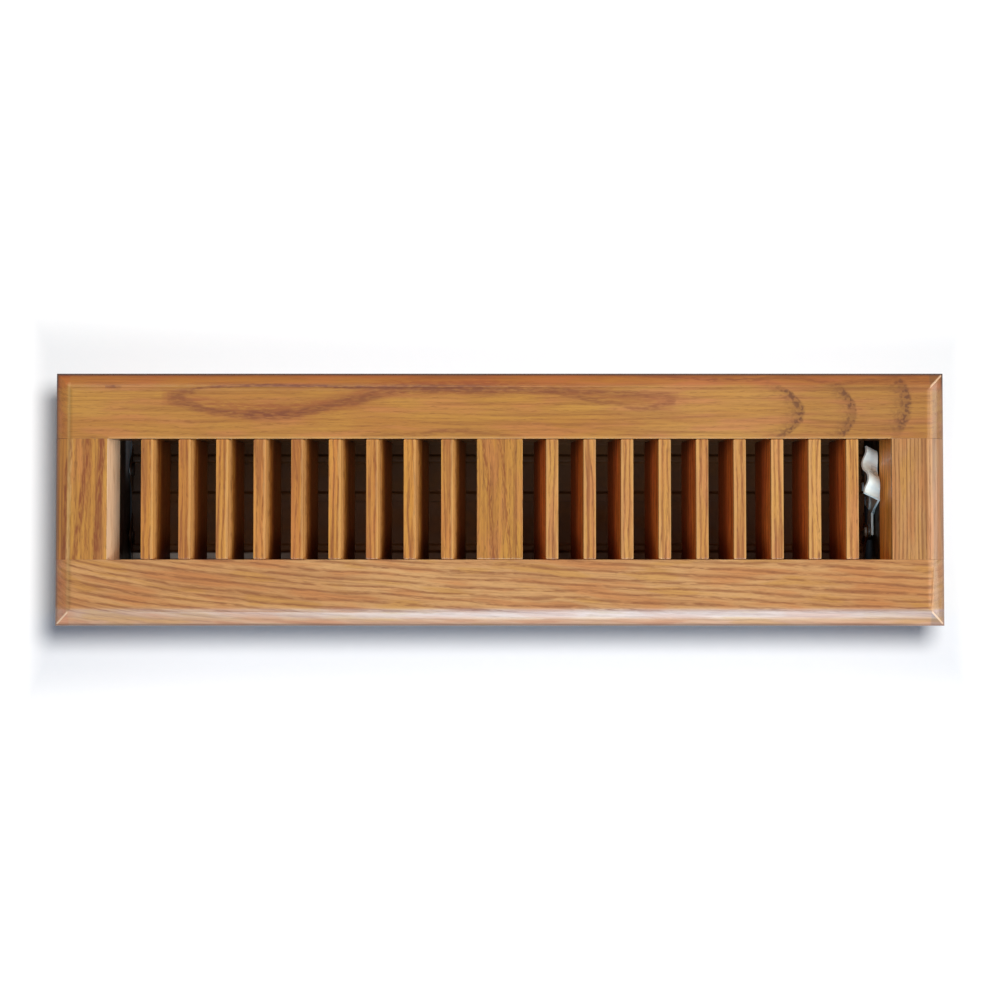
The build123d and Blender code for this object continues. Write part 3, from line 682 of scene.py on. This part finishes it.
def slat_figure(w, wood, at):
    """A tone of its own for each louvre, painted highlights on its arrises, and painted light and shade on
    the side that faces up.

    That side has redder painted bounce light in the right bank, a painted lit band near the top in the left
    one, and painted shade that deepens downwards, in blotches, and is darkest by the rails.
    """
    aside, number = slat_place(w, at.x, at.z)
    upper_side = w.ease(aside, 1.0, -1.0)
    sway = w.noise(w.combine(w.math("MULTIPLY", number, 3.1), w.math("DIVIDE", at.y, 11.0), 0.0), 2.0)
    aside = w.math("ADD", aside, w.math("MULTIPLY_ADD", sway, 1.8, -0.9))
    depth = w.math("SUBTRACT", SLAT_TOP, at.z)
    right_bank = w.math("GREATER_THAN", at.x, 0.0)
    left_bank = w.math("SUBTRACT", 1.0, right_bank)
    chance = w.node("ShaderNodeTexWhiteNoise", {"W": number}, noise_dimensions="1D").outputs["Value"]
    wood = w.mix(w.ease(chance, 0.0, 1.0, 0.0, 0.22), wood, OAK_RED)
    wood = w.tint(1.0, wood, w.mix(right_bank, LEFT_SLAT_TINT, RIGHT_SLAT_TINT))

    # Painted highlights on the arrises of the top
    arris = w.math("MAXIMUM", w.ease(aside, -1.1, -1.8), w.times(w.ease(aside, 1.6, 2.2), right_bank))
    wood = w.mix(w.times(arris, w.ease(depth, 0.6, 2.2, 0.4, 0.0)), wood, OAK_HIGHLIGHT)
    # Painted bounce light on the upward side in the right bank, brightest near the top
    tint = w.mix(w.ease(depth, 3.0, 8.0), SIDE_TOP_BOUNCE_TINT, SIDE_BOUNCE_TINT)
    wood = w.tint(w.times(w.ease(depth, 0.3, 1.2), right_bank, upper_side), wood, tint)
    # A painted lit band near the top of the upward side in the left bank
    painted_lit_band = w.times(w.ease(depth, 0.5, 1.0), w.ease(depth, 2.2, 5.6, 0.65, 0.0), left_bank)
    wood = w.mix(painted_lit_band, wood, OAK_HIGHLIGHT)
    # Blotches of painted shade down the sides
    for length, height, share in SLAT_SHADE_BLOTCHES:
        along = w.math("DIVIDE", at.y, length)
        down = w.math("DIVIDE", depth, height)
        spread = w.combine(w.math("MULTIPLY", number, 7.3), along, down)
        most = w.math("MULTIPLY_ADD", right_bank, -0.6 * share, share)
        shade_blotch = w.ease(w.noise(spread, 3.0), 0.46, 0.66, 0.0, most)
        wood = w.mix(w.times(w.ease(depth, 1.2, 3.0), shade_blotch), wood, OAK_DEEP_SHADE)
    # Painted shade that deepens down the sides
    from_depth = w.ease(right_bank, 0.0, 1.0, *DEEP_SHADE_FROM)
    to_depth = w.ease(right_bank, 0.0, 1.0, *DEEP_SHADE_TO)
    low = w.ease(depth, from_depth, to_depth, 0.0, 0.9)
    wood = w.mix(w.times(low, w.ease(upper_side, 0.0, 1.0, 0.3, 1.0)), wood, OAK_DEEP_SHADE)
    # Painted shade on the sides by the rails
    rail_shade = w.math("MAXIMUM", w.ease(at.y, 14.0 - HALF_GAP, 1.5 - HALF_GAP),
                     w.ease(at.y, HALF_GAP - 8.0, HALF_GAP, 0.0, 0.6))
    return w.tint(w.times(rail_shade, w.ease(depth, 1.5, 6.0), upper_side), wood, SIDE_END_SHADE_TINT)


def rear_varnish(w, at):
    """Varnish as on the ends, but worn thin on the rear bevel."""
    return w.times(at.edges["Varnish"], w.ease(at.y, HALF_WIDTH - 5.0, HALF_WIDTH - 2.5, 1.0, 0.2))


def raw_inside(w, at):
    """Varnish as on the ends, but none on the face towards the opening."""
    outer = w.ease(w.math("ABSOLUTE", at.x), HALF_OPENING - 0.3, HALF_OPENING + 0.3)
    return w.times(outer, at.edges["Varnish"])


def front_varnish(w, at):
    """Thin varnish on the top, and a thick glossy run of it on the front bevel."""
    run = w.ease(at.y, 6.2 - HALF_WIDTH, 8.2 - HALF_WIDTH, 1.0, 0.3)
    return w.math("MAXIMUM", run, at.edges["Varnish"])


def no_deep_varnish(w, at):
    """Thin varnish near the top of a louvre and none deep down its sides."""
    return w.ease(at.z, SLAT_TOP - 3.0, SLAT_TOP - 0.5, 0.0, 0.3)


def sheet_material(name, bright, dull, roughness, metallic, enamelled=None):
    """Zinc-coated sheet steel with a spangle; enamelled(w, x, y, z) may give where it is enamelled dark as
    painted shade.

    The enamel has a painted light patch of bright zinc low on the left end wall.
    """
    material, w, shader = finish_material(name, Metallic=metallic)
    x, y, z = w.place_mm()
    shade = w.group(zinc_spangle, X=x, Y=y, Z=z)["Shade"]
    colour = w.mix(w.ease(shade, 0.2, 0.8), dull, bright)
    if enamelled:
        share = enamelled(w, x, y, z)
        # A painted light patch of bright zinc on the left end wall
        end_wall = w.ease(x, 0.65 - BOX_HALF_LENGTH, 0.45 - BOX_HALF_LENGTH)
        painted_light = w.times(end_wall, w.ease(y, *LIT_PATCH_Y), w.ease(z, *LIT_PATCH_Z))
        colour = w.mix(share, colour, w.mix(painted_light, BOX_SHADE_ENAMEL, GLINT_ZINC))
        w.feed(shader.inputs["Metallic"], w.ease(share, 0.0, 1.0, metallic, 0.0))
    w.feed(shader.inputs["Base Color"], colour)
    w.feed(shader.inputs["Roughness"], w.ease(shade, 0.2, 0.8, roughness - 0.08, roughness + 0.08))
    return material


def box_inside(w, x, y, z):
    """One on the inner faces of the damper box, enamelled dark as painted shade, and zero on its outer faces
    and lips.
    """
    across = w.math("LESS_THAN", w.math("ABSOLUTE", y), BOX_HALF_WIDTH)
    along = w.math("LESS_THAN", w.math("ABSOLUTE", x), BOX_HALF_LENGTH)
    return w.times(across, along, w.math("GREATER_THAN", z, BOX_BOTTOM))


def enamel_material(name):
    """Dark brown satin enamel of the blades, whose darkness also stands in for the shade deep in the box,
    with dust in soft clouds, painted shade at the left end and a painted highlight on the front bead.
    """
    material, w, shader = finish_material(name, Specular_IOR_Level=0.3)
    x, y, z = w.place_mm()
    place = w.combine(w.math("DIVIDE", x, 14.0), w.math("DIVIDE", y, 9.0), w.math("DIVIDE", z, 9.0))
    cloud = w.noise(place, 4.0, 0.6)
    colour = w.mix(w.ease(cloud, 0.4, 0.8, 0.0, 0.6), DARK_ENAMEL_SHADE, DUST)
    # Painted shade towards the left end
    colour = w.tint(w.ease(x, *END_SHADE_X), colour, END_SHADE_TINT)
    # Painted highlight along the front bead, brightest towards the left
    bead = w.times(w.ease(y, BEAD_FRONT, BEAD_FRONT + BEAD_FADE), w.ease(y, BEAD_REAR, BEAD_REAR - BEAD_FADE))
    bead_highlight = w.times(bead, w.ease(x, *BEAD_HIGHLIGHT_X, 0.05, 0.9))
    w.feed(shader.inputs["Base Color"], w.mix(bead_highlight, colour, GLINT_ZINC))
    w.feed(shader.inputs["Roughness"], w.ease(cloud, 0.3, 0.8, 0.45, 0.7))
    return material


def dress(material, *names):
    """Give nodes of the model one material in all their slots."""
    for name in names:
        mesh = nodes[name].data
        mesh.materials.clear()
        mesh.materials.append(material)


def ease_arrises(name):
    """Round the sharp edges of a wooden node a little."""
    piece = nodes[name]
    weld = piece.modifiers.new("joined_corners", "WELD")
    weld.merge_threshold = 0.001 * MM
    arris = piece.modifiers.new("eased_arrises", "BEVEL")
    arris.width = ARRIS_RADIUS
    arris.segments = 3
    arris.limit_method = "ANGLE"
    arris.angle_limit = ARRIS_ANGLE
    arris.use_clamp_overlap = True
    arris.harden_normals = False


slats = [name for name in nodes if name.startswith("slat_")]
frame_pieces = [name for name in nodes if name.endswith(("_rail", "_stile", "_mullion"))]
for wooden in frame_pieces + slats:
    ease_arrises(wooden)

dress(
    oak_material("rear_rail_oak", True, 1.0, REAR_OAK, spacing=2.3, dash=22.0, waviness=1.1, line_share=0.22,
                 pore_share=0.4, band_share=0.4, figure=rear_rail_figure, varnish=rear_varnish, framed=True),
    "rear_rail",
)
dress(
    oak_material("front_rail_oak", True, 2.0, FRONT_OAK, spacing=2.9, dash=9.0, waviness=0.7, line_share=0.7,
                 pore_share=0.5, band_share=0.22, bend=front_rail_bend, figure=front_rail_figure,
                 varnish=front_varnish, coat_roughness=0.2, framed=True),
    "front_rail",
)
dress(
    oak_material("left_stile_oak", False, 3.0, STILE_OAK, spacing=2.6, line_share=0.35, pore_share=0.6,
                 band_share=0.6, figure=left_stile_figure, varnish=raw_inside, framed=True),
    "left_stile",
)
dress(
    oak_material("right_stile_oak", False, 4.0, RIGHT_OAK, spacing=1.5, dash=16.0, waviness=0.25,
                 line_share=0.7, pore_share=0.5, figure=right_stile_figure, varnish=raw_inside, framed=True),
    "right_stile",
)
dress(
    oak_material("mullion_oak", False, 5.0, STILE_OAK, spacing=2.6, line_share=0.35, pore_share=0.7,
                 figure=mullion_figure),
    "centre_mullion",
)
dress(
    oak_material("slat_oak", False, 6.0, SLAT_OAK, spacing=2.1, dash=12.0, waviness=0.9, line_share=0.7,
                 pore_share=0.6, band_share=0.6, figure=slat_figure, varnish=no_deep_varnish),
    *slats,
)
dress(
    sheet_material("galvanised_sheet", GALVANISED_BRIGHT, GALVANISED_DULL, 0.42, 0.85, enamelled=box_inside),
    "damper_box", "rear_blade_pivots", "front_blade_pivots",
)
dress(
    sheet_material("bright_zinc", ZINC_BRIGHT, ZINC_DULL, 0.33, 0.2),
    "thumb_lever", "rear_crank_pin", "front_crank_pin", "lever_rivet", "friction_washer", "box_screws",
)
dress(
    enamel_material("dark_enamel"),
    "rear_blade", "front_blade",
)


# Stage, lights and camera
FLOOR_HALF = 4.0
FLOOR_GAP = 0.02 * MM
FLOOR_PAINT = (0.9, 0.9, 0.9, 1)
# Painted light on the floor: a faint bluish glow by the face, bluest in front, that tints its shadow
FLOOR_NEAR = (0.066, 0.085, 0.104, 1)
FLOOR_FRONT = (0.052, 0.084, 0.13, 1)
FLOOR_FAR = (0.4, 0.4, 0.4, 1)
COOL_LIGHT = (0.64, 0.86, 1.0)
WARM_LIGHT = (1.0, 0.88, 0.76)
WHITE_LIGHT = (1.0, 1.0, 1.0)
SKY_LIGHT = 0.08

# Millimetres past the ends and sides of the face over which the floor's glow grows
GLOW_PAST_END = (11.0, 30.0)
GLOW_PAST_SIDE = (12.0, 50.0)

# Soft boxes: degrees to the right and to the front, distance, width, height, brightness and colour
SOFT_BOXES = {
    "front_soft_box": (5, 42, 5.0, 2.2, 4.0, 6.2, COOL_LIGHT),
    "side_soft_box": (55, 0, 3.0, 2.2, 2.2, 4.2, WARM_LIGHT),
    "rear_soft_box": (-18, -30, 3.0, 2.0, 2.0, 1.65, WARM_LIGHT),
}

# The lamp for the floor stands by the camera, a little to its right and rear
FLOOR_LAMP_ASIDE = Vector((0.1, 0.125, 0))
FLOOR_LAMP_SIZE = 0.22
FLOOR_LAMP_BRIGHTNESS = 84.0


def make_floor():
    """White floor under the box. It keeps the shadow of the face, and glows a little farther off."""
    corners = np.array([[-1, -1, 0], [1, -1, 0], [1, 1, 0], [-1, 1, 0]]) * FLOOR_HALF
    corners[:, 2] = cad_low.z - FLOOR_GAP
    mesh = bpy.data.meshes.new("floor")
    mesh.from_pydata(corners.tolist(), [], [(0, 1, 2, 3)])
    floor = bpy.data.objects.new("floor", mesh)
    bpy.context.scene.collection.objects.link(floor)
    material, w, shader = finish_material(
        "white_floor", Base_Color=FLOOR_PAINT, Roughness=1.0, Specular_IOR_Level=0.0, Emission_Strength=1.0)
    x, y, _ = w.place_mm()
    past_end = w.math("SUBTRACT", w.math("ABSOLUTE", x), HALF_LENGTH)
    past_side = w.math("SUBTRACT", w.math("ABSOLUTE", y), HALF_WIDTH)
    beyond = w.math("MAXIMUM", w.ease(past_end, *GLOW_PAST_END), w.ease(past_side, *GLOW_PAST_SIDE))
    near = w.mix(w.ease(y, 8.0 - HALF_WIDTH, -HALF_WIDTH), FLOOR_NEAR, FLOOR_FRONT)
    w.feed(shader.inputs["Emission Color"], w.mix(beyond, near, FLOOR_FAR))
    mesh.materials.append(material)
    return floor


def aim(thing, place, target):
    """Put a lamp or camera at a place and turn it to look at a target."""
    thing.location = place
    thing.rotation_euler = (Vector(target) - Vector(place)).to_track_quat("-Z", "Y").to_euler()


def soft_box(name, place, width, height, brightness, colour, target, shape="RECTANGLE"):
    """Flat lamp that shows as an evenly bright panel of that brightness."""
    area = width * height * (np.pi / 4 if shape == "ELLIPSE" else 1.0)
    lamp = bpy.data.lights.new(name, "AREA")
    lamp.shape = shape
    lamp.size = width
    lamp.size_y = height
    lamp.energy = np.pi * area * brightness
    lamp.color = colour
    holder = bpy.data.objects.new(name, lamp)
    bpy.context.scene.collection.objects.link(holder)
    aim(holder, place, target)
    return holder


def link_light(lamp, floor, only_floor):
    """Let a lamp light only the floor, or everything but the floor."""
    receivers = bpy.data.collections.new(f"{lamp.name}_receivers")
    receivers.objects.link(floor)
    if not only_floor:
        receivers.collection_objects[0].light_linking.link_state = "EXCLUDE"
    lamp.light_linking.receiver_collection = receivers


def place_from(lean_right, lean_front, distance):
    """Place at a distance from the face, leaning by the given degrees to the right and to the front."""
    direction = Vector((tan(radians(lean_right)), -tan(radians(lean_front)), 1.0)).normalized()
    return face_middle + direction * distance


floor = make_floor()
face_middle = Vector((0, 0, cad_high.z))

for name, (right, front, distance, width, height, brightness, colour) in SOFT_BOXES.items():
    place = place_from(right, front, distance)
    lamp = soft_box(name, place, width, height, brightness, colour, face_middle)
    link_light(lamp, floor, only_floor=False)

camera_lean = Vector((0, -np.sin(CAMERA_LEAN), np.cos(CAMERA_LEAN)))
centre_x, centre_y = photo_place(IMAGE_PIXELS / 2, IMAGE_PIXELS / 2)
look_at = Vector((centre_x * MM, centre_y * MM, cad_high.z))
camera_place = look_at + camera_lean * CAMERA_DISTANCE

floor_lamp = soft_box("floor_light", camera_place + FLOOR_LAMP_ASIDE, FLOOR_LAMP_SIZE, FLOOR_LAMP_SIZE,
                      FLOOR_LAMP_BRIGHTNESS, WHITE_LIGHT, face_middle, "ELLIPSE")
link_light(floor_lamp, floor, only_floor=True)

# The world is white to the camera and in reflections, and a faint light otherwise
world = bpy.data.worlds.new("studio")
world.use_nodes = True
sky = Wiring(world.node_tree)
path = sky.node("ShaderNodeLightPath").outputs
mirrored = sky.math("MAXIMUM", path["Is Glossy Ray"], path["Is Transmission Ray"])
seen = sky.math("MAXIMUM", path["Is Camera Ray"], mirrored)
background = world.node_tree.nodes["Background"]
background.inputs["Color"].default_value = (1, 1, 1, 1)
sky.feed(background.inputs["Strength"], sky.ease(seen, 0.0, 1.0, SKY_LIGHT, 1.0))
bpy.context.scene.world = world

camera_data = bpy.data.cameras.new("camera")
camera_data.sensor_width = SENSOR_WIDTH
camera_data.lens = SENSOR_WIDTH * CAMERA_DISTANCE / (IMAGE_PIXELS * MM_PER_PIXEL * MM)
camera = bpy.data.objects.new("camera", camera_data)
bpy.context.scene.collection.objects.link(camera)
aim(camera, camera_place, look_at)
bpy.context.scene.camera = camera
bpy.context.scene.view_settings.view_transform = "Standard"

bpy.context.view_layer.update()
